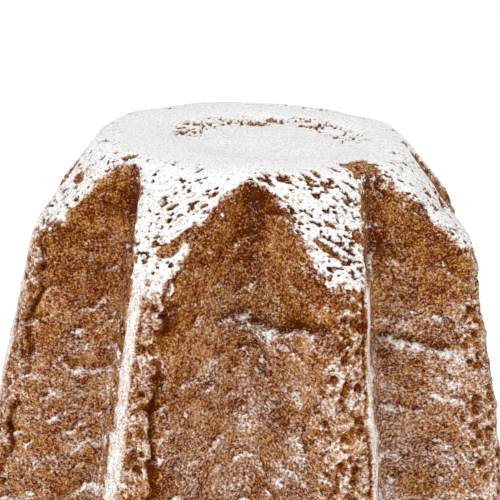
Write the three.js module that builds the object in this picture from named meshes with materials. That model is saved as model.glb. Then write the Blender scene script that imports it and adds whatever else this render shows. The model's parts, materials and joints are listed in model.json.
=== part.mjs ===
// A pandoro: a tall sweet cake baked in a fluted mould with eight points, turned out and stood on its wide end.
// Millimetres, +Z up. The origin is the middle of the flat base, and a flute faces -Y.
//
// The cake is one solid. Its skin is a grid of meridians and rings: the rings climb the flutes and points, cross
// the slope that cuts the points off at the top, and close over the flat top with its shallow hollow.
import * as THREE from 'three';
import { ImprovedNoise } from 'three/addons/math/ImprovedNoise.js';

// ---- driving dimensions ----
const POINTS = 8;
const HEIGHT = 182.6;            // base to the rim of the top
const BASE_TIP_RADIUS = 104;     // axis to a point's nose, at the base
const SHOULDER_TIP_RADIUS = 71;  // the same, where the slope starts to cut the point off
const SHOULDER_DROP = 25;        // height of that slope
const TOP_RADIUS = 47.5;         // the flat top, as far as the slope
const BASE_FLUTE_RADIUS = 73.5;  // axis to the bottom of a flute, at the base
const TOP_FLUTE_RADIUS = 44.6;   // the same, at the top
const BASE_NOSE_HALF = 8.5;      // half the width of a point's blunt nose, at the base
const SHOULDER_NOSE_HALF = 5.4;
const POINT_REACH = [0, 0.6, -0.5, -2.8, -1.9, 1.8, 1.9, 1.6];  // how far each point stands out of true
const RIM_REACH = 0.3;           // the share of that which is left at the rim of the top

// ---- roundings ----
const NOSE_BLEND = 4;
const FLUTE_BLEND = 4;
const RIM_FLUTE_BLEND = 14;      // near the top the flutes are rounder and shallower
const SHOULDER_BLEND = 4.5;
const SLOPE_SAG = 0.8;           // the slope sags this much inwards at mid height
const BASE_EDGE = 4;
const RIM_EDGE = 1.8;
const RIM_SHARES = [0.8, 1.05];  // the top rounds down to its rim between these shares of the way out

// ---- the hollow in the top ----
const HOLLOW_RADIUS = 30;
const HOLLOW_DEPTH = 2.6;
const HOLLOW_WALL = 4;           // width of its sloping wall
const HOLLOW_SHIFT = 4;          // it lies off centre, towards +X
const HOLLOW_STRETCH = 1.08;     // its length along X over its length along Y
const HOLLOW_DOME = 1.1;         // its floor is this much higher in the middle

// ---- relief baked into the crust: height above and below the moulded form ----
const LUMPS = [
  { size: 34, high: 0.9 },
  { size: 14, high: 0.7 },
];
const FOLD_PITCH = 17;           // across the folds, which run round the cake
const FOLD_LENGTH = 20;
const FOLD_HIGH = 0.9;
const FOLD_RISE = 0.4;           // a fold climbs this much for each millimetre towards a flute
const SPLIT_DEPTH = 1.7;         // the torn line beside each nose
const SPLIT_WIDTH = 3.2;
const SPLIT_WANDER = 3.2;
const SPLIT_WANDER_LENGTH = 26;
const SPLIT_OPEN = [0.6, 0.8];   // how open the line is, and how much that changes down its length
const PLAIN_FOOT = 14;           // the relief grows from nothing over this height above the base
const PLAIN_SHOULDER = 10;       // folds and splits die out over this height below the slope

// ---- hollows left by burst bubbles on the slopes of the points ----
const SLOPE_STRETCH = 1.2;       // a length down the slope over its drop, near enough for their outlines
// point: counted from +X; across: off the point's middle line; down: below the top; turn: degrees from level
const BUBBLES = [
  { point: 5, across: 8.5, down: 18.5, long: 12, wide: 6.5, deep: 1.8, turn: 32 },
  { point: 6, across: 3.6, down: 19, long: 6.5, wide: 6, deep: 1.6, turn: 0 },
  { point: 6, across: -6.5, down: 20.5, long: 10, wide: 4.5, deep: 1.3, turn: -35 },
  { point: 1, across: 4, down: 14, long: 9, wide: 6, deep: 1.6, turn: 20 },
  { point: 2, across: -5, down: 18, long: 11, wide: 6, deep: 1.7, turn: -28 },
  { point: 4, across: -2, down: 12, long: 8, wide: 5, deep: 1.3, turn: 10 },
  { point: 7, across: 5, down: 16, long: 8, wide: 5, deep: 1.4, turn: 25 },
];

// ---- how finely the skin is cut ----
// shares of the way from the bottom of a flute to the middle of a nose
const SECTION_SHARES = [0, 0.1, 0.27, 0.45, 0.62, 0.77, 0.86, 0.93];
const BASE_EDGE_SHARES = [0, 0.35, 1];
const WALL_RINGS = 27;
const SLOPE_RINGS = 8;
const TOP_SHARES = [0.96, 0.88, 0.76, 0.65, 0.55, 0.38, 0.18];
const LEAST_SLOPE = 0.9;         // the slope's height over a flute, where it all but runs out

const HALF_PITCH = Math.PI / POINTS;
const SHOULDER_Z = HEIGHT - SHOULDER_DROP;
const FIRST_NOSE = HALF_PITCH;   // azimuth of the first point's nose, so that flutes face +X, -Y and so on

const noise = new ImprovedNoise();
const mix = THREE.MathUtils.lerp;
const smoothstep = THREE.MathUtils.smoothstep;

// The lesser (or greater) of two lengths, rounded off over a stretch where they are alike.
function softMin(a, b, blend) {
  const near = Math.max(blend - Math.abs(a - b), 0) / blend;
  return Math.min(a, b) - (near * near * blend) / 4;
}

function softMax(a, b, blend) {
  return -softMin(-a, -b, blend);
}

// Straight flank of a point, as a distance from the axis at an angle from the flute's bottom.
function flankRadius(angle, flute, corner) {
  const alongX = corner.x - flute;
  const alongY = corner.y;
  return (flute * alongY) / (Math.cos(angle) * alongY - Math.sin(angle) * alongX);
}

function noseCorner(tip, noseHalf) {
  const nose = new THREE.Vector2(Math.cos(HALF_PITCH), Math.sin(HALF_PITCH));
  const across = new THREE.Vector2(nose.y, -nose.x);
  return nose.multiplyScalar(tip).addScaledVector(across, noseHalf);
}

// Sizes of the moulded star at a height.
function starAt(z) {
  const wall = z / SHOULDER_Z;
  return {
    tip: mix(BASE_TIP_RADIUS, SHOULDER_TIP_RADIUS, wall),
    flute: mix(BASE_FLUTE_RADIUS, TOP_FLUTE_RADIUS, z / HEIGHT),
    noseHalf: mix(BASE_NOSE_HALF, SHOULDER_NOSE_HALF, wall),
  };
}

// Distance of the fluted wall from the axis, at a height and an angle between 0 (flute) and HALF_PITCH (nose).
function wallRadius(z, angle) {
  const star = starAt(z);
  const corner = noseCorner(star.tip, star.noseHalf);
  const flank = flankRadius(angle, star.flute, corner);
  const mirrored = flankRadius(-angle, star.flute, corner);
  const nose = star.tip / Math.cos(HALF_PITCH - angle);
  const blend = mix(FLUTE_BLEND, RIM_FLUTE_BLEND, smoothstep(z, SHOULDER_Z, HEIGHT));
  return softMin(softMax(flank, mirrored, blend), nose, NOSE_BLEND);
}

// Distance of the slope that cuts the points off, at a height.
function slopeRadius(z) {
  const down = (HEIGHT - z) / SHOULDER_DROP;
  const sag = SLOPE_SAG * Math.sin(Math.PI * THREE.MathUtils.clamp(down, 0, 1));
  return mix(TOP_RADIUS, SHOULDER_TIP_RADIUS, down) - sag;
}

// Height at which the wall gives way to the slope: lowest on a nose, just under the rim over a flute.
function shoulderHeight(angle) {
  let [low, high] = [SHOULDER_Z - SHOULDER_BLEND, HEIGHT - RIM_EDGE - LEAST_SLOPE];
  while (high - low > 0.01) {
    const middle = (low + high) / 2;
    if (wallRadius(middle, angle) < slopeRadius(middle)) low = middle;
    else high = middle;
  }
  return low;
}

function skinRadius(z, angle) {
  let radius = softMin(wallRadius(z, angle), slopeRadius(z), SHOULDER_BLEND);
  if (z < BASE_EDGE) {
    const under = 1 - z / BASE_EDGE;
    radius -= BASE_EDGE * (1 - Math.sqrt(1 - under * under));
  }
  return radius;
}

// Angles from a flute round to the next one: each share of a half is measured along the flank, not by angle.
function sectorAngles() {
  const star = starAt(SHOULDER_Z);
  const corner = noseCorner(star.tip, star.noseHalf);
  const tip = new THREE.Vector2(Math.cos(HALF_PITCH), Math.sin(HALF_PITCH)).multiplyScalar(star.tip);
  const path = [new THREE.Vector2(star.flute, 0), corner, tip];
  const flankLength = path[0].distanceTo(path[1]);
  const whole = flankLength + path[1].distanceTo(path[2]);
  const half = SECTION_SHARES.map((share) => {
    const along = share * whole;
    const spot = along < flankLength
      ? path[0].clone().lerp(path[1], along / flankLength)
      : path[1].clone().lerp(path[2], (along - flankLength) / (whole - flankLength));
    return spot.angle();
  });
  const mirrored = half.slice(1).reverse().map((angle) => 2 * HALF_PITCH - angle);
  return [...half, HALF_PITCH, ...mirrored];
}

// Every meridian of the cake: its azimuth, and its angle from the nearest flute.
function meridians() {
  const all = [];
  for (let point = 0; point < POINTS; point += 1) {
    for (const angle of sectorAngles()) {
      const fromFlute = Math.min(angle, 2 * HALF_PITCH - angle);
      all.push({
        azimuth: FIRST_NOSE - HALF_PITCH + 2 * HALF_PITCH * point + angle,
        angle: fromFlute,
        shoulder: shoulderHeight(fromFlute),
        reach: POINT_REACH[point] * smoothstep(fromFlute, 0, HALF_PITCH),
      });
    }
  }
  return all;
}

// The flat top: a rounded rim, then a sloping wall down into the hollow.
function topHeight(x, y, rimRadius) {
  const out = Math.hypot(x, y);
  const rim = RIM_EDGE * smoothstep(out, RIM_SHARES[0] * rimRadius, RIM_SHARES[1] * rimRadius) ** 2;
  const fromHollow = Math.hypot((x - HOLLOW_SHIFT) / HOLLOW_STRETCH, y);
  const sunk = HOLLOW_DEPTH * (1 - smoothstep(fromHollow, HOLLOW_RADIUS - HOLLOW_WALL, HOLLOW_RADIUS));
  const dome = HOLLOW_DOME * (1 - smoothstep(fromHollow, 0, HOLLOW_RADIUS));
  return HEIGHT - rim - sunk + dome;
}

// How far a meridian stands out of true, at a height.
function reachAt(line, z) {
  return line.reach * mix(1, RIM_REACH, smoothstep(z, SHOULDER_Z, HEIGHT));
}

// One ring of the skin, at the height that heightOn gives for each meridian.
function ringOfSkin(lines, heightOn) {
  return lines.map((line) => {
    const z = heightOn(line);
    const radius = skinRadius(z, line.angle) + reachAt(line, z);
    return new THREE.Vector3(radius * Math.cos(line.azimuth), radius * Math.sin(line.azimuth), z);
  });
}

function ringOfTop(share, lines) {
  return lines.map((line) => {
    const rimRadius = skinRadius(HEIGHT - RIM_EDGE, line.angle) + reachAt(line, HEIGHT - RIM_EDGE);
    const x = share * rimRadius * Math.cos(line.azimuth);
    const y = share * rimRadius * Math.sin(line.azimuth);
    return new THREE.Vector3(x, y, topHeight(x, y, rimRadius));
  });
}

function allRings(lines) {
  const rings = [];
  for (const share of BASE_EDGE_SHARES) {
    rings.push(ringOfSkin(lines, () => BASE_EDGE * share));
  }
  for (let k = 1; k <= WALL_RINGS; k += 1) {
    rings.push(ringOfSkin(lines, (line) => mix(BASE_EDGE, line.shoulder, k / WALL_RINGS)));
  }
  for (let k = 1; k <= SLOPE_RINGS; k += 1) {
    rings.push(ringOfSkin(lines, (line) => mix(line.shoulder, HEIGHT - RIM_EDGE, k / SLOPE_RINGS)));
  }
  for (const share of TOP_SHARES) {
    rings.push(ringOfTop(share, lines));
  }
  return rings;
}

// ---- relief ----
function lumps(spot) {
  return LUMPS.reduce((sum, { size, high }) => (
    sum + high * noise.noise(spot.x / size, spot.y / size, spot.z / size + size)), 0);
}

// Where an azimuth lies: the nearest point, and how far round from its nose, in radians.
function nearestNose(azimuth) {
  const point = Math.round((azimuth - FIRST_NOSE) / (2 * HALF_PITCH));
  return { point, turn: azimuth - FIRST_NOSE - 2 * HALF_PITCH * point };
}

// Soft folds that run round the cake and climb towards the flutes, as the dough rose against the mould.
function folds(spot, azimuth) {
  const fromFlute = Math.hypot(spot.x, spot.y) * (HALF_PITCH - Math.abs(nearestNose(azimuth).turn));
  const climbed = spot.z + FOLD_RISE * fromFlute;
  const crest = 1 - Math.abs(noise.noise(spot.x / FOLD_LENGTH, spot.y / FOLD_LENGTH, climbed / FOLD_PITCH));
  return FOLD_HIGH * (crest ** 3 - 0.5);
}

// The torn line: a narrow trough that wanders down beside the nose, on one side or the other.
function split(spot, azimuth) {
  const { point, turn } = nearestNose(azimuth);
  const side = Math.sin(point * 2.4 + 4.2) > 0 ? 1 : -1;
  const down = spot.z / SPLIT_WANDER_LENGTH;
  const wander = SPLIT_WANDER * noise.noise(point * 3.1, 7.7, down);
  const line = side * starAt(Math.min(spot.z, SHOULDER_Z)).noseHalf + wander;
  const off = (Math.hypot(spot.x, spot.y) * turn - line) / SPLIT_WIDTH;
  const open = SPLIT_OPEN[0] + SPLIT_OPEN[1] * noise.noise(point * 1.7, down, 2.2);
  return -SPLIT_DEPTH * Math.max(open, 0) * Math.exp(-off * off * 2);
}

function bubbles(spot, azimuth) {
  const turn = (azimuth - FIRST_NOSE) / (2 * HALF_PITCH);
  return BUBBLES.reduce((sum, bubble) => {
    let away = turn - bubble.point;
    away -= POINTS * Math.round(away / POINTS);
    const across = Math.hypot(spot.x, spot.y) * away * 2 * HALF_PITCH - bubble.across;
    const down = (HEIGHT - spot.z - bubble.down) * SLOPE_STRETCH;
    const turned = THREE.MathUtils.degToRad(bubble.turn);
    const along = (across * Math.cos(turned) - down * Math.sin(turned)) / (bubble.long / 2);
    const over = (across * Math.sin(turned) + down * Math.cos(turned)) / (bubble.wide / 2);
    return sum - bubble.deep * Math.exp(-(along * along + over * over));
  }, 0);
}

// How far the crust stands off its moulded form. It fades out at the base, which is flat.
function relief(spot, azimuth) {
  const clear = smoothstep(spot.z, 0, PLAIN_FOOT);
  const onWall = 1 - smoothstep(spot.z, SHOULDER_Z - PLAIN_SHOULDER, SHOULDER_Z);
  const uneven = lumps(spot) + onWall * (folds(spot, azimuth) + split(spot, azimuth));
  return clear * (uneven + bubbles(spot, azimuth));
}

// ---- the closed skin ----
function skinTriangles(rings) {
  const around = rings[0].length;
  const spots = [...rings.flat()];
  const baseCentre = spots.push(new THREE.Vector3(0, 0, 0)) - 1;
  const topCentre = spots.push(new THREE.Vector3(0, 0, topHeight(0, 0, TOP_RADIUS))) - 1;
  const faces = [];
  for (let ring = 0; ring + 1 < rings.length; ring += 1) {
    for (let k = 0; k < around; k += 1) {
      const next = (k + 1) % around;
      const [a, b] = [ring * around + k, ring * around + next];
      const [c, d] = [a + around, b + around];
      const leanRight = spots[a].distanceTo(spots[d]) <= spots[b].distanceTo(spots[c]);
      faces.push(...(leanRight ? [a, b, d, a, d, c] : [a, b, c, b, d, c]));
    }
  }
  const last = (rings.length - 1) * around;
  for (let k = 0; k < around; k += 1) {
    const next = (k + 1) % around;
    faces.push(baseCentre, next, k, last + k, last + next, topCentre);
  }
  return { spots, faces };
}

function geometryOf(spots, faces) {
  const geometry = new THREE.BufferGeometry().setFromPoints(spots);
  geometry.setIndex(faces);
  geometry.computeVertexNormals();
  return geometry;
}

function cakeGeometry() {
  const lines = meridians();
  const { spots, faces } = skinTriangles(allRings(lines));
  const moulded = geometryOf(spots, faces);
  const normals = moulded.getAttribute('normal');
  const crust = spots.map((spot, k) => {
    const azimuth = Math.atan2(spot.y, spot.x);
    const outwards = new THREE.Vector3().fromBufferAttribute(normals, k);
    return spot.clone().addScaledVector(outwards, relief(spot, azimuth));
  });
  const geometry = geometryOf(crust, faces);
  geometry.computeBoundingBox();
  const middle = geometry.boundingBox.getCenter(new THREE.Vector3());
  geometry.translate(-middle.x, -middle.y, 0);
  return geometry;
}

function bakedCrust() {
  return new THREE.MeshStandardMaterial({ color: 0xa9713f, roughness: 0.85, metalness: 0 });
}

const pandoro = new THREE.Mesh(cakeGeometry(), bakedCrust());
pandoro.name = 'pandoro';

const model = new THREE.Group();
model.add(pandoro);

export default model;
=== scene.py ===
import json
import math

import bpy
import numpy as np
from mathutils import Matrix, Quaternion, Vector, noise

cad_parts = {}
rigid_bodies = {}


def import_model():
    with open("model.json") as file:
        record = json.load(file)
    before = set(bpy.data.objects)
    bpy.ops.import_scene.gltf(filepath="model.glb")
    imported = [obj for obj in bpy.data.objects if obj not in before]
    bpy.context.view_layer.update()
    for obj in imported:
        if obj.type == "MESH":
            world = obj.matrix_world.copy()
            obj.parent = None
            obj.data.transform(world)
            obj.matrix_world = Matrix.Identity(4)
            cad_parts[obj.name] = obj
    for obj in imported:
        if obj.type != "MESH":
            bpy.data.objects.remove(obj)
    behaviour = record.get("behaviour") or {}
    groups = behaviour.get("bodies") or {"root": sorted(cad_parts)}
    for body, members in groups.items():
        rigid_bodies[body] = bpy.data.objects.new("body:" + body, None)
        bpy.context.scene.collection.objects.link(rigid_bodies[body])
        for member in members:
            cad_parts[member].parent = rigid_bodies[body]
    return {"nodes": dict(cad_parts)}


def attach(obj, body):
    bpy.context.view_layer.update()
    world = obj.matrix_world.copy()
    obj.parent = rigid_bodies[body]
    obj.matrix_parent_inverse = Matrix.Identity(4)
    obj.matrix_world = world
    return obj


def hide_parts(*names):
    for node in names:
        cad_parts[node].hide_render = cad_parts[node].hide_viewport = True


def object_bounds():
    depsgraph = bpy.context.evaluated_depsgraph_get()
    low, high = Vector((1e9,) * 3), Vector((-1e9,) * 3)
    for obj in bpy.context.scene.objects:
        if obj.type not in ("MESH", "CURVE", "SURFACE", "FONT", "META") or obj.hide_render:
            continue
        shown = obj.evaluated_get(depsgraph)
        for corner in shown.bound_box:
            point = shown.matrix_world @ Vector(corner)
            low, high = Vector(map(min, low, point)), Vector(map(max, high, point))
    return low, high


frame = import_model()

MM = 0.001
CAD_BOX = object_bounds()

# ---- the moulded form, in millimetres ----
POINTS = 8
PITCH = 2 * math.pi / POINTS
FIRST_NOSE = PITCH / 2          # azimuth of the first point's nose, counted from +X
HEIGHT = CAD_BOX[1].z / MM      # the top of the cake
SLOPE_DROP = 25                 # the points are cut off by a slope this far down from the top
SLOPE_RUN = 23.5                # and this far outwards
TOP_RADIUS = 47.5               # the flat top, as far as the slope
NOSE_HALF = (8.5, 5.4)          # half the width of a point's blunt nose: at the base, under the slope
HOLLOW = (4, 0)                 # middle of the shallow hollow in the top
HOLLOW_STRETCH = 1.08           # its length along X over its length along Y
HOLLOW_RADIUS = 30
HOLLOW_BARE_IN = 6              # the bare streaks on its wall lie this far inside its edge

# ---- hollows of burst bubbles on the slopes, which the sugar leaves bare ----
# point: counted from +X; across: off the point's middle line; down: below the top;
# turn: degrees from level
BUBBLES = [
    {"point": 5, "across": 4.2, "down": 17.6, "long": 13, "wide": 3.8, "turn": 56},
    {"point": 5, "across": 1.6, "down": 20.2, "long": 7, "wide": 4.6, "turn": 30},
    {"point": 6, "across": 6.0, "down": 16.6, "long": 4.8, "wide": 3.6, "turn": 90},
    {"point": 6, "across": -4.2, "down": 18.6, "long": 9.5, "wide": 2.4, "turn": -49},
    {"point": 1, "across": 4, "down": 14, "long": 9, "wide": 5, "turn": 20},
    {"point": 2, "across": -5, "down": 18, "long": 11, "wide": 5, "turn": -28},
    {"point": 4, "across": -2, "down": 12, "long": 8, "wide": 4, "turn": 10},
    {"point": 7, "across": 5, "down": 16, "long": 8, "wide": 4, "turn": 25},
]

# ---- the wall's relief ----
LUMPS = ((9, 0.8, 5.5), (3, 0.42, 9.1))   # soft lumps: their size, height and seed
WAVE_PITCH = 8                  # from one wave of the wall to the next, down the cake
WAVE_HIGH = 1.05
WAVE_LEDGE = 0.21               # share of a wave's pitch taken by its upper face, where sugar lies
WAVE_CREASE_SHADE = 0.14              # and by the crease over it, darkened with painted shade
WAVE_RISE = 0.55                # a wave climbs this much for each millimetre towards a flute
WAVE_BENDS = ((19, 5, 3.1), (5, 2.6, 6.3))   # how it bends up and down: size, height and seed
WAVE_CREST = 0.7                # how much of a roll's sugar a wave's crest has
CRACK_DEEP = 1.8                # the torn line beside each nose on the left
CRACK_WIDE = 0.62
CRACK_IN = 1.2                  # how far inside the nose's edge it runs
TORN_SPREAD = 3.4               # how much wider the torn part is, low down, on the noses at the right
HOLE_DEEP = 1.6                 # the open crumb along each nose
HOLE_PITCH = 3.7
HOLE_EDGE = (0.3, 0.46)         # a hole's floor and its edge, as shares of that pitch
FINE_HOLE = (1.7, 1.7, 1.4)     # the fine holes between them
GROOVE_DEEP = 0.7               # the narrow groove between the open crumb and the whole strip
GROOVE_WIDE = 0.6
STRIP_WIDE = {-1: 3.0, 1: 1.9}  # the whole strip along one edge of each nose, on its left or right
STRIP_GROWS = {-1: 3.2, 1: 1.7}   # how much wider it is at the base

# ---- rolls of dough that hang over the wall below them ----
# across and down: the middle of the roll's upper edge;
# climbs: how much that edge climbs for each millimetre across
ROLLS = [
    {"point": 6, "across": -15, "down": 42.9, "long": 21, "tall": 17, "lift": 2.2, "climbs": 0.35},
    {"point": 6, "across": -25, "down": 52, "long": 11, "tall": 9, "lift": 1.5, "climbs": 0.3},
    {"point": 6, "across": -29, "down": 26, "long": 9, "tall": 5, "lift": 1.3, "climbs": -0.2},
    {"point": 5, "across": 29, "down": 26, "long": 9, "tall": 5, "lift": 1.3, "climbs": 0.2},
    {"point": 5, "across": 20, "down": 41, "long": 16, "tall": 9, "lift": 1.1, "climbs": 0.3},
    {"point": 5, "across": -20, "down": 28, "long": 24, "tall": 8, "lift": 1.0, "climbs": 0.3},
    {"point": 6, "across": 13, "down": 28, "long": 15, "tall": 8, "lift": 1.1, "climbs": 0.0},
    {"point": 0, "across": 14, "down": 44, "long": 22, "tall": 14, "lift": 1.8, "climbs": 0.2},
    {"point": 1, "across": -16, "down": 70, "long": 24, "tall": 14, "lift": 1.7, "climbs": -0.2},
    {"point": 2, "across": 15, "down": 50, "long": 20, "tall": 12, "lift": 1.6, "climbs": 0.1},
    {"point": 3, "across": -17, "down": 92, "long": 24, "tall": 15, "lift": 1.8, "climbs": -0.1},
    {"point": 4, "across": 18, "down": 66, "long": 14, "tall": 10, "lift": 1.0, "climbs": 0.25},
    {"point": 7, "across": -15, "down": 56, "long": 16, "tall": 12, "lift": 1.4, "climbs": -0.5},
]
ROLL_EDGE = 1.0                 # thickness of a roll's rounded upper edge
ROLL_WANDERS = ((8, 2, 7.9), (2.6, 1.4, 1.7))   # how that edge wanders: size, height and seed
ROLL_DUSTED = 9                 # the sugar on its face thins out this far down
FOLD_DEEP = 1.1                 # the fold in the wall just over it
FOLD_TALL = 4

# ---- the top's sugar ----
HOLDS_SUGAR = 0.42              # the crust holds it where its normal points up by more than this
SUGAR_THICK = 0.25
SLOPE_STRETCH = 1.37            # a length down the slope over its drop
PIT_LONG, PIT_WIDE = 2.4, 1.3   # the small slanting pits that it leaves open
PIT_SLANT = math.radians(37)
PIT_DEEP = 1.0
PITS_MORE = (0.1, 0.4, 0, 0.3, 0.15, 0, 0.65, 0.2)   # by point, counted from +X
SCAR_AT = 6.46                  # the bare scar where the rim broke out over a flute: its place in points
SCAR_HALF = 6.5                 # half its width
SCAR_DROP = 4.2
SCAR_INSIDE = 40                # it ends this far from the middle line
TUCK = 1.2                      # how deep one body's skin dips under the other's
CAP_DEEP = 37                   # height of the top's body

# ---- how much sugar lies where: 0 is next to none, 1 a white layer ----
ON_TOP = 1.1
ON_SLOPE_LESS = 0.25
ON_WALL = 0.2
SHELTER = (10, 38)              # the wall stays clear right under the slopes, and fills over these depths
SHELTERED_LESS = 0.27
ON_LEDGE = 0.3                  # added on what faces up
ON_CREST = 0.28                 # added on the crests of waves and rolls
# less sugar in the creases: painted shade
LESS_SUGAR_IN_CREASE_SHADE = 0.25
TO_THE_RIGHT = 0.0008           # added for each millimetre along X, so the wall is lighter towards the right
DOWN_FLUTE = (30, 60)           # it gathers in the flutes over these depths
ON_TORN = 0.4
IN_HOLE_LESS = 0.7
ON_STRIP = {-1: 0.68, 1: 0.6}
IN_SCAR = 0.06
STRIP_STREAKS = 0.6             # how far the sugar on the strips is drawn out into streaks

# ---- how dark the crust is, from its bake and from painted shade in creases, flutes, holes, the crack and pits: 0 is golden, 1 the darkest brown ----
BAKED = 0.26
DARKER_SHELTERED = 0.06          # darker right under the slopes
BAKED_AND_SHADED_HIGH_FLUTE = 0.6          # and in the upper end of each flute: a deeper bake and painted shade
# darker all along each flute: a deeper bake and painted shade
BAKED_AND_SHADED_FLUTE = 0.1
BAKED_PATCHES = 0.3
# painted shade in the creases over the waves' ledges and in the folds over the rolls
SHADE_IN_CREASE = 0.8
BAKED_TORN = -0.4
# painted shade in the torn noses' holes, crack and groove
SHADE_IN_OPENINGS = 0.6
# more painted shade along the crack
SHADE_IN_CRACK = 0.4
BAKED_STRIP = -0.5
BAKED_AND_SHADED_PIT = 0.9                 # in the pits, a deeper bake and painted shade, from which the next three are taken off
PALER_BUBBLE = 0.5
PALER_SCAR = 0.75
PALER_HOLLOW = 0.6

# ---- how finely the pieces are cut ----
CRUST_GRAIN = 0.68              # edge of the faces before the flat parts are thinned
CAP_GRAIN = 0.42
MOST_TRIANGLES = 194000         # of a piece

# ---- the finish: widths in millimetres, colours in sRGB ----
GRAIN_WIDE = 0.6                # domed grains of the crust
PORE_WIDE = 0.7                 # with pores of this size and finer between them
FLECK_WIDE = 0.95               # loose flecks of sugar
STREAK_WIDE = 0.8               # on the strips they are streaks, drawn out down the cake
STREAK_SQUEEZE = 0.12
HUE_WIDE = 3.5                  # spots where the crust is redder or yellower
PATCH_WIDE = 11                 # broad patches, darker or with more sugar
LEDGE_REACH = 0.2               # a grain's upper side is found by the height this far over it
BROWNS = ((0.68, "4E1E00"), (0.74, "6C3204"), (0.79, "864810"), (0.84, "9C6126"), (0.9, "B0773E"),
          (0.98, "D0A06E"))     # from the pores, partly painted shade, to the tops of the grains
VEIL = "DCBDA6"                 # crust seen through a breath of sugar
SUGAR_LOW, SUGAR_HIGH = "D4D5D2", "FDFDFC"   # between the sugar's grains, greyed with painted shade, and on them
CRUST_ROUGH = 0.85              # roughness of both: dry, dull and open
CRUST_IOR = 1.45
CRUST_SHINE = 0.07              # the pores leave next to no sheen

# ---- the picture ----
VIEW_DISTANCE = 468             # from the camera to the place it looks at
VIEW_PLACE = (-1.0, 0, 144.4)
VIEW_PITCH = 18.02              # degrees down
VIEW_ROLL = 1.98
PICTURE_SIDE = 500              # pixels
FOCAL_PIXELS = 1472
SENSOR = 36
LIT_PLACE = (0, 0, 0.12)        # metres: where the lights point
FLOOR_SIDE = 12                 # metres


# ---------------------------------------------------------------- hand tools

def pick_none():
    bpy.ops.object.select_all(action="DESELECT")


def pick(piece):
    """Selects one object alone."""
    pick_none()
    piece.select_set(True)
    bpy.context.view_layer.objects.active = piece


def finish_with(piece, kind, **settings):
    """Adds a modifier with its settings and applies it."""
    pick(piece)
    bpy.ops.object.modifier_add(type=kind)
    modifier = piece.modifiers[-1]
    for name, value in settings.items():
        setattr(modifier, name, value)
    bpy.ops.object.modifier_apply(modifier=modifier.name)


def copy_of(node, name):
    """A copy of a CAD node's mesh as a new piece. Its loose triangles are merged into a closed skin
    of quads."""
    pick(node)
    bpy.ops.object.duplicate()
    piece = bpy.context.active_object
    piece.name = name
    bpy.ops.object.parent_clear(type="CLEAR_KEEP_TRANSFORM")
    bpy.ops.object.transform_apply(location=True, rotation=True, scale=True)
    for key in [key for key in piece.keys() if key.startswith("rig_")]:
        del piece[key]
    piece.data.materials.clear()
    flat = math.radians(60)
    bpy.ops.object.mode_set(mode="EDIT")
    bpy.ops.mesh.select_all(action="SELECT")
    bpy.ops.mesh.remove_doubles(threshold=0.01 * MM)
    bpy.ops.mesh.tris_convert_to_quads(face_threshold=flat, shape_threshold=flat)
    bpy.ops.mesh.faces_shade_smooth()
    bpy.ops.object.mode_set(mode="OBJECT")
    return piece


def cut_off_below(body, height):
    """Keeps what is above a height, closed with a flat face."""
    pick(body)
    bpy.ops.object.mode_set(mode="EDIT")
    bpy.ops.mesh.select_all(action="SELECT")
    bpy.ops.mesh.bisect(plane_co=(0, 0, height * MM), plane_no=(0, 0, 1),
                        use_fill=True, clear_inner=True)
    bpy.ops.object.mode_set(mode="OBJECT")


def spots_of(piece):
    """The piece's vertices, in millimetres."""
    spots = np.empty(3 * len(piece.data.vertices))
    piece.data.vertices.foreach_get("co", spots)
    return spots.reshape(-1, 3) / MM


def normals_of(piece):
    """The way each of its vertices faces."""
    normals = np.empty(3 * len(piece.data.vertices))
    piece.data.vertex_normals.foreach_get("vector", normals)
    return normals.reshape(-1, 3)


def press(piece, heights):
    """Moves the skin along its normals by a height in millimetres for each vertex: first what rises,
    then what sinks."""
    for way in (1, -1):
        moves = np.clip(way * heights, 0, None)
        most = float(moves.max())
        group = piece.vertex_groups.new(name="moves")
        for index, share in enumerate((moves / most).tolist()):
            group.add([index], share, "REPLACE")
        finish_with(piece, "DISPLACE", mid_level=0, strength=way * most * MM,
                    vertex_group=group.name)
        bpy.ops.object.vertex_group_remove(all=True)


def thin_out(piece):
    """Leaves the piece no more than MOST_TRIANGLES triangles, and takes them from its flattest places."""
    piece.data.calc_loop_triangles()
    count = len(piece.data.loop_triangles)
    if count > MOST_TRIANGLES:
        finish_with(piece, "DECIMATE", ratio=MOST_TRIANGLES / count)


def paint(body, name, values):
    """Keeps a value for each vertex, which the body's material reads."""
    layer = body.data.attributes.new(name, "FLOAT", "POINT")
    layer.data.foreach_set("value", values)


# ---------------------------------------------------------------- places on the cake

def smoothstep(value, low, high):
    """Rises softly from 0 at the low value to 1 at the high one."""
    share = np.clip((value - low) / (high - low), 0, 1)
    return share * share * (3 - 2 * share)


def swell(spots, size, seed=0.0, inside=None):
    """Soft noise from -1 to 1 with lumps of that size, one size or one each way. The seed is where
    it is taken from the noise. With inside, it is 0 where that isn't true."""
    if inside is None:
        inside = np.full(len(spots), True)
    lumps = np.zeros(len(spots))
    places = (spots[inside] / np.array(size) + seed).tolist()
    lumps[inside] = np.fromiter(map(noise.noise, places), float, len(places))
    return lumps


def swells(spots, layers):
    """The sum of several such noises, each given as its size, height and seed."""
    return sum(high * swell(spots, size, seed) for size, high, seed in layers)


def cells(spots, size, inside):
    """Distance to the nearest of many scattered middles, in cells of that size. It is 1 where
    inside isn't true."""
    away = np.ones(len(spots))
    away[inside] = [noise.voronoi(spot)[0][0] for spot in (spots[inside] / size).tolist()]
    return away


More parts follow.
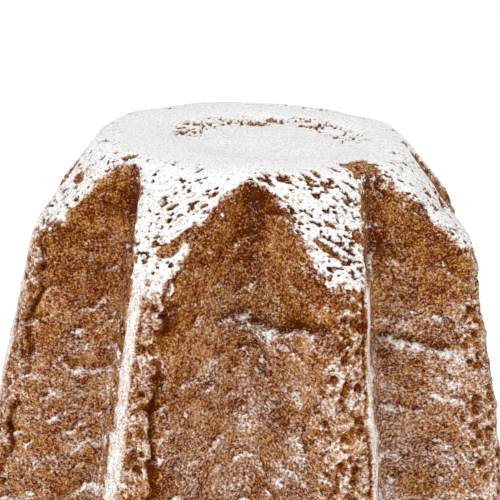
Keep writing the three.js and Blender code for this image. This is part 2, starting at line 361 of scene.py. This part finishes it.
class Place:
    """Where each vertex lies on the cake, in millimetres."""

    def __init__(self, spots):
        self.spots = spots
        azimuth = np.arctan2(spots[:, 1], spots[:, 0])
        turn = (azimuth - FIRST_NOSE) / PITCH
        self.point = np.round(turn) % POINTS
        self.out = np.hypot(spots[:, 0], spots[:, 1])
        # off the nose's middle line, and off the bottom of the nearest flute
        self.across = self.out * (turn - np.round(turn)) * PITCH
        self.from_flute = self.out * PITCH / 2 - np.abs(self.across)
        # over the base, under the top, and under the slope that cuts the points off
        self.high = spots[:, 2]
        self.down = HEIGHT - self.high
        on_slope = np.clip((self.out - TOP_RADIUS) / SLOPE_RUN, 0, 1)
        self.under = self.down - SLOPE_DROP * on_slope
        share = np.clip(self.high / (HEIGHT - SLOPE_DROP), 0, 1)
        self.nose_half = NOSE_HALF[0] + (NOSE_HALF[1] - NOSE_HALF[0]) * share
        # the side of its nose that the strip is on, and the distance to the nose's edge there,
        # which is less than 0 on the nose
        left = (self.point >= 3) & (self.point <= 5)
        self.side = np.where(left, -1, 1)
        wide, grows = (np.where(left, widths[-1], widths[1]) for widths in (STRIP_WIDE, STRIP_GROWS))
        self.strip_wide = wide + grows * (1 - share)
        self.to_strip = self.side * self.across - self.nose_half


# ---------------------------------------------------------------- the crust's wall

class Dough:
    """The dough that rose against the mould: how far it stands out, its creases, which get painted shade,
    and its sugared crests."""

    def __init__(self, place):
        self.relief = swells(place.spots, LUMPS)
        self.add_waves(place)
        self.add_rolls(place)

    def add_waves(self, place):
        """Each wave ends in a ledge, and the waves climb towards the flutes."""
        bend = swells(place.spots, WAVE_BENDS)
        share = (place.high + WAVE_RISE * place.from_flute + bend) / WAVE_PITCH % 1
        rise = share / (1 - WAVE_LEDGE)
        fall = 1 - smoothstep(share, 1 - WAVE_LEDGE, 1)
        wave = np.where(share < 1 - WAVE_LEDGE, rise, fall) - 0.5
        strong = smoothstep(swell(place.spots, 6, 8.8), -0.1, 0.3)
        self.relief = self.relief + WAVE_HIGH * strong * wave
        # painted shade: marks the crease just over each ledge, to be darkened
        self.crease_shade = strong * (1 - smoothstep(share, 0.0, WAVE_CREASE_SHADE))
        on_crest = smoothstep(share, 0.3, 0.8) * (1 - smoothstep(share, 0.9, 1))
        self.crest = WAVE_CREST * strong * on_crest

    def add_rolls(self, place):
        """A roll has a rounded upper edge that stands out, a face that falls back below it and a
        fold over it."""
        wander = swells(place.spots, ROLL_WANDERS)
        for roll in ROLLS:
            aside = place.across - roll["across"]
            below = place.down - roll["down"] + roll["climbs"] * aside + wander
            ends = smoothstep(np.abs(aside) / roll["long"] * 2, 0.55, 1)
            here = (place.point == roll["point"]) * (1 - ends)
            edge = smoothstep(below, -ROLL_EDGE, ROLL_EDGE)
            edge = edge * (1 - smoothstep(below, ROLL_EDGE, roll["tall"]))
            fold = smoothstep(below, -FOLD_TALL, -1) * (1 - smoothstep(below, -1, 0.4))
            self.relief = self.relief + here * (roll["lift"] * edge - FOLD_DEEP * fold)
            # painted shade in the fold over each roll
            self.crease_shade = np.maximum(self.crease_shade, here * fold * roll["lift"] / 2)
            dusted = smoothstep(below, -0.6, 0.6) * (1 - smoothstep(below, 1, ROLL_DUSTED))
            self.crest = np.maximum(self.crest, here * dusted)


def strip_of(place):
    """The smooth strip along one edge of each nose, where the crust stayed whole and sugar lies thick."""
    off = place.to_strip + 0.9 * swell(place.spots, 20, 2.5) + 0.5 * swell(place.spots, 3, 5.9)
    inner = smoothstep(off, -place.strip_wide - 0.8, -place.strip_wide + 0.8)
    outer = 1 - smoothstep(off, 0.3, 1.4)
    return inner * outer * smoothstep(place.down, SLOPE_DROP - 3, SLOPE_DROP + 6)


def torn_band(place):
    """1 on the torn part of a nose, between its far edge and its strip, 0 elsewhere."""
    spread = smoothstep(place.down, SLOPE_DROP + 10, SLOPE_DROP + 32)
    spread = (place.side > 0) * TORN_SPREAD * spread
    begin = place.to_strip + 2 * place.nose_half + spread + 2.4 * swell(place.spots, 9, 3.7)
    before_strip = 1 - smoothstep(place.to_strip + place.strip_wide, -1.0, -0.2)
    patchy = smoothstep(swell(place.spots, (30, 30, 13), 4.7), -0.7, -0.3)
    below = smoothstep(place.down, SLOPE_DROP - 1, SLOPE_DROP + 4)
    return smoothstep(begin, 0.0, 1.6) * before_strip * patchy * below


class Torn:
    """How open the torn places of each nose are, from 0 to 1: the crumb's holes, the crack beside it
    on the left noses and the groove beside the strip on the right ones."""

    def __init__(self, place):
        near = place.to_strip > -2 * place.nose_half - 8
        near &= place.to_strip < 2
        below = smoothstep(place.down, SLOPE_DROP - 2, SLOPE_DROP + 3)
        self.band = torn_band(place)
        large = 1 - smoothstep(cells(place.spots, HOLE_PITCH, self.band > 0.05), *HOLE_EDGE)
        small = smoothstep(swell(place.spots, FINE_HOLE, 7.7, near), 0.12, 0.3)
        self.holes = np.maximum(large, 0.5 * small) * self.band
        wander = 2.4 * swell(place.spots, (60, 60, 11), 1.9)
        wander += 1.1 * swell(place.spots, 3.5, 4.9, near)
        off_crack = (place.to_strip + 2 * place.nose_half - CRACK_IN + wander) / CRACK_WIDE
        gape = smoothstep(swell(place.spots, (60, 60, 14), 5.1), -0.5, -0.1)
        self.crack = (place.side < 0) * gape * np.exp(-off_crack * off_crack) * below
        ragged = 0.4 * swell(place.spots, 4, 2.9, near)
        off_groove = (place.to_strip + place.strip_wide + 0.5 + ragged) / GROOVE_WIDE
        self.groove = (place.side > 0) * np.exp(-off_groove * off_groove) * below
        self.open = np.maximum(np.maximum(self.holes, self.crack), 0.9 * self.groove)

    def depth(self):
        return HOLE_DEEP * self.holes + CRACK_DEEP * self.crack + GROOVE_DEEP * self.groove


def wall_relief(place, base_up, dough, torn):
    """How far the crust stands off its moulded form. It tucks under the top's body where that
    covers it."""
    on_wall = smoothstep(place.under, 1, 8)
    clear = smoothstep(place.high, 0.5, 10)
    wall = (1 - 0.8 * strip_of(place)) * dough.relief - torn.depth()
    cap_foot = HEIGHT - CAP_DEEP
    covered = smoothstep(base_up, 0.5, 0.6) * smoothstep(place.high, cap_foot, cap_foot + 5)
    return clear * on_wall * wall - TUCK * covered


# ---------------------------------------------------------------- the sugared top

def edge_of_sugar(place, base_up):
    """Over 0 where enough of the skin faces upwards to hold the sugar, under 0 where it slid off."""
    near = place.down < CAP_DEEP
    ragged = 0.3 * swell(place.spots, 1.6, 2.2, near) + 0.2 * swell(place.spots, 4.5, 6.2, near)
    near_rim = 1 - smoothstep(place.down, 4, 12)
    return base_up - HOLDS_SUGAR + ragged + 0.1 * near_rim


def bubbles_of(place):
    """1 in a burst bubble's hollow, 0 outside."""
    inside = np.zeros(len(place.spots))
    wobble = 0.5 * swell(place.spots, 3, 2.8)
    for bubble in BUBBLES:
        across = place.across - bubble["across"] + wobble
        down = (place.down - bubble["down"]) * SLOPE_STRETCH
        turn = math.radians(bubble["turn"])
        along = (across * math.cos(turn) - down * math.sin(turn)) / (bubble["long"] / 2)
        over = (across * math.sin(turn) + down * math.cos(turn)) / (bubble["wide"] / 2)
        round_it = 1 - smoothstep(along * along + over * over, 0.7, 1.1)
        inside = np.maximum(inside, np.where(place.point == bubble["point"], round_it, 0))
    return inside


def pits_of(place):
    """1 in the small pits on the slopes, 0 outside. They slant up towards the middle flute."""
    near = place.down < CAP_DEEP
    up_slope, aside = -SLOPE_STRETCH * place.down, place.side * place.across
    along = up_slope * math.sin(PIT_SLANT) - aside * math.cos(PIT_SLANT)
    over = up_slope * math.cos(PIT_SLANT) + aside * math.sin(PIT_SLANT)
    turned = np.stack([along, over, 50 * place.point], axis=1)   # each point has pits of its own
    more = np.array(PITS_MORE)[place.point.astype(int)]
    dense = 0.4 + more + 1.1 * swell(place.spots, 7, 8.2, near)
    large = swell(turned, (PIT_LONG, PIT_WIDE, 1), 4.4, near) - 0.5 + 0.24 * dense
    small = swell(turned, (PIT_LONG / 2, PIT_WIDE / 1.5, 1), 8.4, near) - 0.5 + 0.2 * dense
    on_slope = smoothstep(place.down, 0.1, 1.5)
    on_slope = on_slope * smoothstep(place.out, TOP_RADIUS - 7, TOP_RADIUS - 3)
    return on_slope * np.maximum(smoothstep(large, 0, 0.08), smoothstep(small, 0, 0.1))


def hollow_wall(place):
    """1 on the ragged bare streaks on the far wall of the hollow in the top, where sugar slid down."""
    on_top = place.down < 8
    aside, away = place.spots[:, 0] - HOLLOW[0], place.spots[:, 1] - HOLLOW[1]
    from_middle = np.hypot(aside / HOLLOW_STRETCH, away)
    off_wall = np.abs(from_middle - HOLLOW_RADIUS + HOLLOW_BARE_IN)
    off_wall = off_wall + 3 * swell(place.spots, 6, 1.1, on_top)
    band = (1 - smoothstep(off_wall, 2.5, 6)) * smoothstep(away, -8, 8)
    streaks = swell(place.spots, (1.0, 2.0, 3), 6.6, on_top)
    streaks = streaks + 0.6 * swell(place.spots, (7, 4, 9), 3.6, on_top)
    return band * smoothstep(streaks, -0.08, 0.12)


def scar_of(place):
    """1 on the bare scar over a flute, where the rim broke out, 0 elsewhere."""
    azimuth = np.arctan2(place.spots[:, 1], place.spots[:, 0]) % (2 * math.pi)
    ragged = 1.2 * swell(place.spots, 1.5, 5.2, place.down < 9)
    aside = np.abs(azimuth - FIRST_NOSE - SCAR_AT * PITCH) * place.out + ragged
    down = place.down + ragged
    here = smoothstep(down, 0.1, 0.8) * (1 - smoothstep(down, SCAR_DROP, SCAR_DROP + 0.7))
    return here * (1 - smoothstep(aside, SCAR_HALF - 1, SCAR_HALF)) * (place.out > SCAR_INSIDE)


def bare_of(place, holds):
    """1 where the sugared top shows its crust, 0 where the sugar is whole. holds is 1 where sugar
    stays at all."""
    broken = np.maximum(bubbles_of(place), scar_of(place))
    return np.maximum(broken, np.maximum(pits_of(place) * holds, hollow_wall(place)))


def top_relief(place, base_up):
    """The sugar's thickness and soft unevenness, its pits, and the tuck under the wall where it ends."""
    edge = smoothstep(edge_of_sugar(place, base_up), -0.05, 0.03)
    thick = SUGAR_THICK * (2 * smoothstep(place.down, 0, 2) - 1)   # none stands over the moulded top
    soft = 0.1 * swell(place.spots, 1.6, 3.3) + 0.12 * swell(place.spots, 6, 3.9)
    return edge * (thick + soft - PIT_DEEP * bare_of(place, edge)) - TUCK * (1 - edge)


# ---------------------------------------------------------------- dust and bake

def sugar_on_wall(place, up, dough, torn, strip, sheltered):
    """How much sugar lies on each spot of the wall, which faces upwards by up."""
    flute = 1 - smoothstep(place.from_flute, 1.5, 5.5)
    ledges = ON_LEDGE * smoothstep(up, 0.28, 0.7) + ON_CREST * dough.crest
    ledges *= smoothstep(swell(place.spots, 2.0, 2.1), -0.4, 0.3)
    uneven = 0.2 * swell(place.spots, 10, 6.1) + 0.12 * swell(place.spots, 4, 1.6)
    uneven += 0.4 * np.clip(up - 0.2, -0.2, 0.3)
    wall = ON_WALL - SHELTERED_LESS * sheltered + ledges + (1 - 0.6 * sheltered) * uneven
    # the creases get less sugar: painted shade
    wall += TO_THE_RIGHT * place.spots[:, 0] - LESS_SUGAR_IN_CREASE_SHADE * dough.crease_shade
    wall += 0.2 * flute * (smoothstep(place.under, *DOWN_FLUTE) - 0.7)
    wall += 0.14 * high_flute(place) + 0.1 * (1 - smoothstep(place.under, 1, 7))
    wall += torn.band * (ON_TORN + 0.4 * ledges - wall) - IN_HOLE_LESS * torn.open
    on_strip = np.where(place.side < 0, ON_STRIP[-1], ON_STRIP[1])
    return wall + strip * (on_strip - wall)


def high_flute(place):
    """1 in the upper end of a flute, right under the rim, 0 elsewhere."""
    return (1 - smoothstep(place.from_flute, 1, 4)) * (1 - smoothstep(place.under, 14, 32))


def bake_and_shade_of_wall(place, dough, torn, strip, sheltered):
    """How dark the wall's crust is: its bake, with painted shade in its flutes, creases, holes and crack.
    """
    flute = 1 - smoothstep(place.from_flute, 1.5, 5.5)
    # the flutes are darkened by a deeper bake and painted shade, and the wall right under the slopes is
    # darker
    crust = BAKED + DARKER_SHELTERED * sheltered + BAKED_AND_SHADED_FLUTE * flute
    crust += BAKED_AND_SHADED_HIGH_FLUTE * high_flute(place) + BAKED_PATCHES * swell(place.spots, 11, 7.1)
    # painted shade in the creases, and in the holes, crack and groove of the torn noses
    crust += SHADE_IN_CREASE * dough.crease_shade + BAKED_TORN * torn.band + SHADE_IN_OPENINGS * torn.open
    return crust + SHADE_IN_CRACK * torn.crack + BAKED_STRIP * strip


def dust(body, place, base_up, dough, torn):
    """Paints how much sugar lies on each vertex, how dark it is from its bake and from painted shade, and
    where the strips are.
    """
    up = normals_of(body)[:, 2]
    near = place.down < CAP_DEEP
    strip = strip_of(place)
    edge = smoothstep(edge_of_sugar(place, base_up), -0.08, 0.06)
    bare = bare_of(place, edge)
    sheltered = 1 - smoothstep(place.under + 5 * swell(place.spots, 12, 3.3), *SHELTER)
    wall = sugar_on_wall(place, up, dough, torn, strip, sheltered)
    cover = ON_TOP - ON_SLOPE_LESS * smoothstep(place.down, 1, 8)
    cover += 0.12 * swell(place.spots, 5, 4.3, near)
    sugar = (wall + (cover - wall) * edge) * (1 - bare) + IN_SCAR * scar_of(place)
    crust = bake_and_shade_of_wall(place, dough, torn, strip, sheltered)
    # the pits are darkest, with a deeper bake and painted shade; bubbles, scar and hollow are paler
    in_bare = BAKED_AND_SHADED_PIT - PALER_BUBBLE * bubbles_of(place) - PALER_SCAR * scar_of(place)
    in_bare -= PALER_HOLLOW * (place.out < SCAR_INSIDE)
    paint(body, "sugar", sugar)
    # the crust's darkness: its bake, with painted shade in creases, flutes, holes, the crack and pits
    paint(body, "bake_and_shade", crust + bare * (in_bare - crust))
    paint(body, "strip", STRIP_STREAKS * strip)


# ---------------------------------------------------------------- the two bodies

def refine(body, grain):
    """Cuts a body finely and evenly, and rounds off the steps that this leaves."""
    finish_with(body, "REMESH", mode="VOXEL", voxel_size=grain * MM, use_smooth_shade=True)
    finish_with(body, "SMOOTH", factor=0.5, iterations=6)


def model_crust(node):
    crust = copy_of(node, "baked_crust")
    finish_with(crust, "SUBSURF", levels=2, render_levels=2)
    refine(crust, CRUST_GRAIN)
    base_up = normals_of(crust)[:, 2]
    place = Place(spots_of(crust))
    dough, torn = Dough(place), Torn(place)
    press(crust, wall_relief(place, base_up, dough, torn))
    dust(crust, place, base_up, dough, torn)
    thin_out(crust)
    return crust


def model_top(node):
    top = copy_of(node, "sugared_top")
    finish_with(top, "SUBSURF", levels=2, render_levels=2)
    cut_off_below(top, HEIGHT - CAP_DEEP)
    refine(top, CAP_GRAIN)
    base_up = normals_of(top)[:, 2]
    place = Place(spots_of(top))
    press(top, top_relief(place, base_up))
    dust(top, place, base_up, Dough(place), Torn(place))
    thin_out(top)
    return top


# ---------------------------------------------------------------- materials

def linear(code):
    """A linear RGBA colour from an sRGB hex code."""
    channels = [int(code[k:k + 2], 16) / 255 for k in (0, 2, 4)]
    return [c / 12.92 if c <= 0.04045 else ((c + 0.055) / 1.055) ** 2.4 for c in channels] + [1]


def add(tree, kind, links=None, **settings):
    """Adds a shader node with its settings, and what goes into its sockets: a value or another
    node's output."""
    made = tree.nodes.new("ShaderNode" + kind)
    for name, value in settings.items():
        setattr(made, name, value)
    for socket, value in (links or {}).items():
        if isinstance(value, bpy.types.NodeSocket):
            tree.links.new(value, made.inputs[socket])
        else:
            made.inputs[socket].default_value = value
    return made


def new_material(name):
    material = bpy.data.materials.new(name)
    material.use_nodes = True
    material.node_tree.nodes.clear()
    return material, material.node_tree


def crust_heights(tree, places):
    """Grain of the crust as a height from 0 to 1, at these places in mm: domed grains with fine pores."""
    grain = add(tree, "TexVoronoi", {"Vector": places, "Scale": 1 / GRAIN_WIDE},
                feature="F1").outputs["Distance"]
    domes = add(tree, "Math", {0: 1.0, 1: grain}, operation="SUBTRACT").outputs[0]
    pores = add(tree, "TexNoise", {"Vector": places, "Scale": 1 / PORE_WIDE, "Detail": 3.0,
                                   "Roughness": 0.85}).outputs["Fac"]
    return add(tree, "Mix", {"Factor": 0.75, 2: domes, 3: pores}, data_type="FLOAT").outputs[0]


def browned_and_shaded(tree, height, hue, patch, fleck):
    """The crust's brown: darkest in its pores, partly its own colour and partly painted shade, and where
    bake_and_shade is highest, redder here and yellower there."""
    bake_and_shade = add(tree, "Attribute", attribute_name="bake_and_shade").outputs["Fac"]
    tone = height
    for part, weight in ((hue, 0.3), (patch, 0.2), (fleck, 0.2), (bake_and_shade, -0.16)):
        tone = add(tree, "Math", {0: part, 1: weight, 2: tone}, operation="MULTIPLY_ADD").outputs[0]
    # the ramp's dark end, in the pores, is partly painted shade
    brown = add(tree, "ValToRGB", {"Fac": tone})
    stops = brown.color_ramp.elements
    stops[0].position, stops[1].position = BROWNS[0][0], BROWNS[-1][0]
    for position, _ in BROWNS[1:-1]:
        stops.new(position)
    for stop, (_, code) in zip(stops, BROWNS):
        stop.color = linear(code)
    tint = add(tree, "MapRange", {"Value": hue, "To Min": 0.476, "To Max": 0.524}).outputs[0]
    return add(tree, "HueSaturation", {"Hue": tint, "Color": brown.outputs["Color"]}).outputs[0]


def sugar_lain(tree, places, ledge, patch, fleck):
    """How thick the sugar lies: as much as is painted, in flecks, or in streaks on the strips, with
    more of it on the upper side of each grain."""
    sugar = add(tree, "Attribute", attribute_name="sugar").outputs["Fac"]
    strip = add(tree, "Attribute", attribute_name="strip").outputs["Fac"]
    upright = add(tree, "VectorMath", {0: places, 1: (1, 1, STREAK_SQUEEZE)},
                  operation="MULTIPLY").outputs[0]
    streak = add(tree, "TexNoise", {"Vector": upright, "Scale": 1 / STREAK_WIDE,
                                    "Detail": 2.0}).outputs["Fac"]
    loose = add(tree, "Mix", {"Factor": strip, 2: fleck, 3: streak}, data_type="FLOAT").outputs[0]
    lain = sugar
    for part, weight in ((loose, 1.6), (patch, 0.4), (ledge, 1.0)):
        lain = add(tree, "Math", {0: part, 1: weight, 2: lain}, operation="MULTIPLY_ADD").outputs[0]
    # the flecks and patches are 0.5 on average, and this takes that off again
    return add(tree, "Math", {0: lain, 1: 1.0}, operation="SUBTRACT").outputs[0]


def sugared_crust(name):
    """Baked pandoro crust: a matt, finely porous golden-brown skin, darkest in its pores, partly with
    painted shade. Sifted icing sugar veils it, clings in flecks to what faces up, and lies on the top as
    a dull white powder that hides it, greyer between its grains with painted shade."""
    material, tree = new_material(name)
    where = add(tree, "TexCoord").outputs["Object"]
    places = add(tree, "VectorMath", {0: where, "Scale": 1 / MM}, operation="SCALE").outputs[0]
    above = add(tree, "VectorMath", {0: places, 1: (0, 0, LEDGE_REACH)}, operation="ADD").outputs[0]
    height = crust_heights(tree, places)
    height_above = crust_heights(tree, above)
    ledge = add(tree, "Math", {0: height, 1: height_above}, operation="SUBTRACT").outputs[0]
    fleck = add(tree, "TexNoise", {"Vector": above, "Scale": 1 / FLECK_WIDE,
                                   "Detail": 2.0}).outputs["Fac"]
    patch = add(tree, "TexNoise", {"Vector": places, "Scale": 1 / PATCH_WIDE,
                                   "Detail": 3.0}).outputs["Fac"]
    hue = add(tree, "TexNoise", {"Vector": places, "Scale": 1 / HUE_WIDE,
                                 "Detail": 3.0}).outputs["Fac"]

    # the veil thickens on the tops of the grains, and the sugar turns white where it lies deeper
    brown = browned_and_shaded(tree, height, hue, patch, fleck)
    lain = sugar_lain(tree, places, ledge, patch, fleck)
    thin = add(tree, "Math", {0: height, 1: 1.5, 2: lain}, operation="MULTIPLY_ADD").outputs[0]
    veil = add(tree, "MapRange", {"Value": thin, "From Min": 0.77, "From Max": 1.4,
                                  "To Max": 0.75}).outputs[0]
    veiled = add(tree, "Mix", {"Factor": veil, 6: brown, 7: linear(VEIL)},
                 data_type="RGBA").outputs[2]
    # painted shade: the sugar is greyer between its grains
    powder = add(tree, "MapRange", {"Value": height, "From Min": 0.38, "From Max": 0.52}).outputs[0]
    sifted = add(tree, "Mix", {"Factor": powder, 6: linear(SUGAR_LOW), 7: linear(SUGAR_HIGH)},
                 data_type="RGBA").outputs[2]
    white = add(tree, "MapRange", {"Value": lain, "From Min": 0.34, "From Max": 0.84}).outputs[0]
    colour = add(tree, "Mix", {"Factor": white, 6: veiled, 7: sifted}, data_type="RGBA").outputs[2]

    # the crust's pores are about twice as deep as the sugar's
    depth = add(tree, "MapRange", {"Value": white, "To Min": 0.42 * MM,
                                   "To Max": 0.22 * MM}).outputs[0]
    bump = add(tree, "Bump", {"Height": height, "Distance": depth, "Strength": 1.0}).outputs[0]
    skin = add(tree, "BsdfPrincipled", {"Base Color": colour, "Normal": bump, "IOR": CRUST_IOR,
                                        "Roughness": CRUST_ROUGH,
                                        "Specular IOR Level": CRUST_SHINE})
    add(tree, "OutputMaterial", {"Surface": skin.outputs[0]})
    return material


def pale_floor():
    """Plain white sweep under the cake, lit to a clean white."""
    material, tree = new_material("plain_floor")
    skin = add(tree, "BsdfPrincipled", {"Base Color": linear("FCFCFC"), "Roughness": 0.9,
                                        "Emission Color": (1, 1, 1, 1), "Emission Strength": 0.4})
    add(tree, "OutputMaterial", {"Surface": skin.outputs[0]})
    return material


def belongs(piece, material):
    """Finishes a piece: gives it its material, puts it with the body, and hides the CAD node that it
    stands for.
    """
    piece.data.materials.clear()
    piece.data.materials.append(material)
    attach(piece, "root")
    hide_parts("pandoro")


# ---------------------------------------------------------------- the studio

def place_camera():
    """The camera at the photograph's viewing angle."""
    pitch = math.radians(VIEW_PITCH)
    back = Vector((0, -math.cos(pitch), math.sin(pitch)))
    bpy.ops.object.camera_add(location=(Vector(VIEW_PLACE) + VIEW_DISTANCE * back) * MM)
    camera = bpy.context.active_object
    camera.rotation_mode = "QUATERNION"
    level = (-back).to_track_quat("-Z", "Y")
    camera.rotation_quaternion = level @ Quaternion((0, 0, 1), math.radians(VIEW_ROLL))
    camera.data.sensor_width = SENSOR
    camera.data.lens = SENSOR * FOCAL_PIXELS / PICTURE_SIDE
    camera.data.clip_start = 0.01
    bpy.context.scene.camera = camera


def light(name, azimuth, elevation, distance, size, power):
    """A square soft box that faces the cake. Azimuth 0 is the camera's side, 90 the right. Its
    distance and size are in metres and its power in watts."""
    turn, rise = math.radians(azimuth), math.radians(elevation)
    level = math.cos(rise)
    away = Vector((math.sin(turn) * level, -math.cos(turn) * level, math.sin(rise)))
    bpy.ops.object.light_add(type="AREA", location=Vector(LIT_PLACE) + away * distance)
    lamp = bpy.context.active_object
    lamp.name = name
    lamp.rotation_mode = "QUATERNION"
    lamp.rotation_quaternion = (-away).to_track_quat("-Z", "Y")
    lamp.data.size = size
    lamp.data.energy = power


def set_up_studio():
    """A plain floor, an even white surround and two soft boxes."""
    pick_none()
    bpy.ops.mesh.primitive_plane_add(size=FLOOR_SIDE)
    floor = bpy.context.active_object
    floor.name = "floor"
    floor.data.materials.append(pale_floor())
    world = bpy.data.worlds.new("studio")
    bpy.context.scene.world = world
    world.use_nodes = True
    surround = world.node_tree.nodes["Background"]
    surround.inputs["Color"].default_value = (1, 1, 1, 1)
    surround.inputs["Strength"].default_value = 0.55
    light("key", azimuth=-22, elevation=50, distance=1.6, size=0.9, power=12)
    light("fill", azimuth=50, elevation=35, distance=1.8, size=1.2, power=4)
    bpy.context.scene.view_settings.view_transform = "Standard"


def main():
    place_camera()
    set_up_studio()
    node = frame["nodes"]["pandoro"]
    crust = model_crust(node)
    top = model_top(node)
    belongs(crust, sugared_crust("baked_crust"))
    belongs(top, sugared_crust("icing_sugar"))


main()
